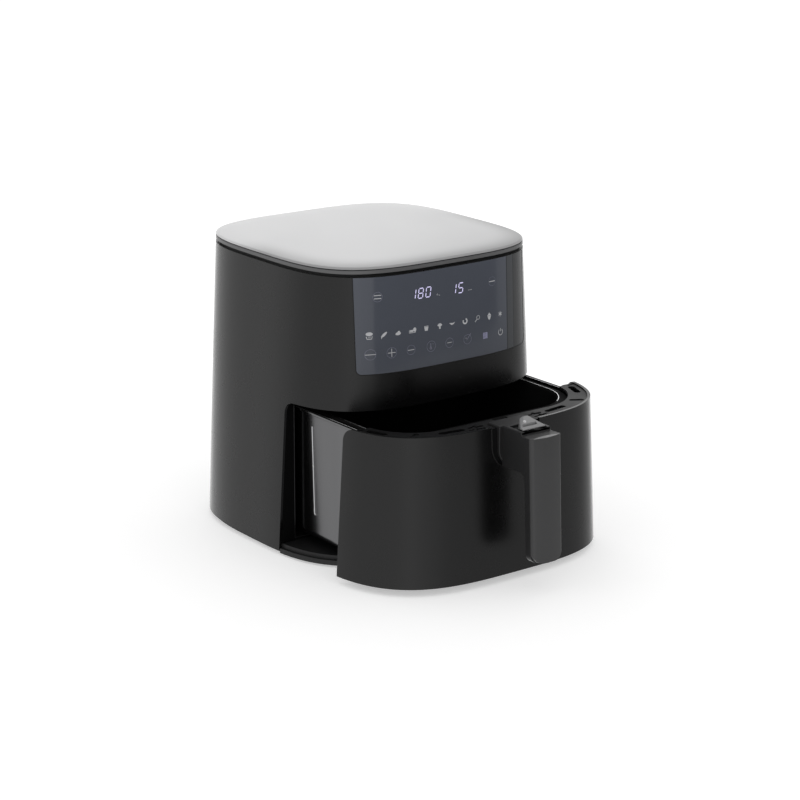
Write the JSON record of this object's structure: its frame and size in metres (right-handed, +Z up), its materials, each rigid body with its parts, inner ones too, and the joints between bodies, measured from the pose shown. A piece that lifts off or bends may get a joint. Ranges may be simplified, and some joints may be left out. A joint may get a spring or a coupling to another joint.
{
  "type": "air fryer",
  "caption": "Countertop air fryer with a tapered rounded-square housing, front touch panel and a pull-out basket drawer with an upright handle.",
  "frame": {"origin": "on the table, under the middle of the housing's top cover", "axes": "+Z up, the drawer pulls out towards -Y, +X to the right seen from the front"},
  "size_m": [0.317, 0.4542, 0.3125],
  "materials": {
    "cover_grey": "satin light grey moulding",
    "ring_grey": "satin silver-grey moulding",
    "gap_black": "matt black",
    "housing_black": "satin black",
    "panel_glass": "dark tinted gloss",
    "carrier_black": "matt black",
    "board_green": "solder-masked board",
    "diffuser_white": "white light guide",
    "base_black": "matt black",
    "foot_rubber": "dark grey rubber",
    "screw_steel": "zinc plated",
    "gland_black": "matt black",
    "trim_black": "matt black",
    "liner_steel": "aluminised sheet",
    "rail_steel": "plain sheet",
    "chamber_steel": "aluminised sheet",
    "element_steel": "dark oxidised sheath",
    "wire_chrome": "plated wire",
    "fan_aluminium": "pressed sheet",
    "shaft_steel": "ground",
    "fan_plastic": "matt black",
    "bracket_zinc": "zinc plated sheet",
    "bush_bronze": "sintered bronze",
    "core_steel": "laminated steel",
    "coil_copper": "enamelled copper",
    "duct_black": "matt black",
    "sensor_steel": "plain",
    "fuse_ceramic": "cream ceramic",
    "switch_blue": "moulded body",
    "plunger_red": "moulded",
    "frame_black": "fine texture",
    "pan_steel": "satin dark steel",
    "basket_coating": "black non-stick coating",
    "rim_steel": "polished edge",
    "catch_steel": "plain sheet",
    "foot_silicone": "silicone",
    "handle_black": "satin black",
    "grip_black": "matt soft black",
    "cover_clear": "translucent",
    "button_grey": "moulded",
    "spring_steel": "plain wire",
    "lever_zinc": "zinc plated"
  },
  "bodies": {
    "housing": {"top_cover": "cover_grey", "top_trim_ring": "ring_grey", "top_frame": "gap_black", "housing_shell": "housing_black", "control_glass": "panel_glass", "glass_carrier": "carrier_black", "display_board": "board_green", "display_module": "diffuser_white", "base_plate": "base_black", "rubber_feet": "foot_rubber", "base_screws": "screw_steel", "rear_vent_grille": "base_black", "cord_inlet_gland": "gland_black", "opening_trim": "trim_black", "cavity_liner": "liner_steel", "guide_rails": "rail_steel", "chamber_plate": "chamber_steel", "heat_shroud": "chamber_steel", "shroud_screws": "screw_steel", "heating_element": "element_steel", "element_brackets": "bracket_zinc", "fan_guard": "wire_chrome", "motor_bracket": "bracket_zinc", "motor_posts": "bracket_zinc", "bearing_bushes": "bush_bronze", "motor_stator": "core_steel", "motor_coil": "coil_copper", "power_board": "board_green", "board_posts": "carrier_black", "exhaust_duct": "duct_black", "temperature_sensor": "sensor_steel", "thermal_fuse": "fuse_ceramic", "door_switch": "switch_blue"},
    "fan_rotor": {"hot_air_fan": "fan_aluminium", "fan_nut": "screw_steel", "motor_shaft": "shaft_steel", "cooling_fan": "fan_plastic", "motor_rotor": "core_steel"},
    "drawer": {"drawer_front": "housing_black", "drawer_frame": "frame_black", "outer_pan": "pan_steel", "inner_basket": "basket_coating", "basket_rim": "rim_steel", "basket_catch": "catch_steel", "basket_feet": "foot_silicone", "pan_bracket": "bracket_zinc", "bracket_screws": "screw_steel", "handle_arm": "handle_black", "handle_grip": "grip_black", "grip_screws": "screw_steel", "latch_pin": "shaft_steel", "release_spring": "spring_steel"},
    "cover": {"release_cover": "cover_clear"},
    "button": {"release_button": "button_grey"},
    "latch": {"latch_hook": "lever_zinc"},
    "plunger": {"switch_plunger": "plunger_red"}
  },
  "joints": [
    {"name": "fan_spin", "type": "hinge", "parent": "housing", "child": "fan_rotor", "pos_m": [0, 0, 0.2], "axis": [0, 0, 1], "continuous": true},
    {"name": "drawer_slide", "type": "slide", "parent": "housing", "child": "drawer", "axis": [0, -1, 0], "range_m": [-0.101, 0.17]},
    {"name": "cover_slide", "type": "slide", "parent": "drawer", "child": "cover", "axis": [0, -1, 0], "range_m": [0, 0.009]},
    {"name": "button_press", "type": "slide", "parent": "drawer", "child": "button", "axis": [0, 0, -1], "range_m": [0, 0.002], "stiffness_N_per_m": 500, "deforming": ["release_spring"]},
    {"name": "latch_pivot", "type": "hinge", "parent": "drawer", "child": "latch", "pos_m": [0, -0.273, 0.15], "axis": [1, 0, 0], "range_deg": [-11.6, 0]},
    {"name": "plunger_press", "type": "slide", "parent": "housing", "child": "plunger", "axis": [0, 1, 0], "range_m": [0, 0.0015], "stiffness_N_per_m": 300}
  ],
  "couplings": [
    {"joint": "latch_pivot", "follows": "button_press", "rad_per_m": -100}
  ]
}
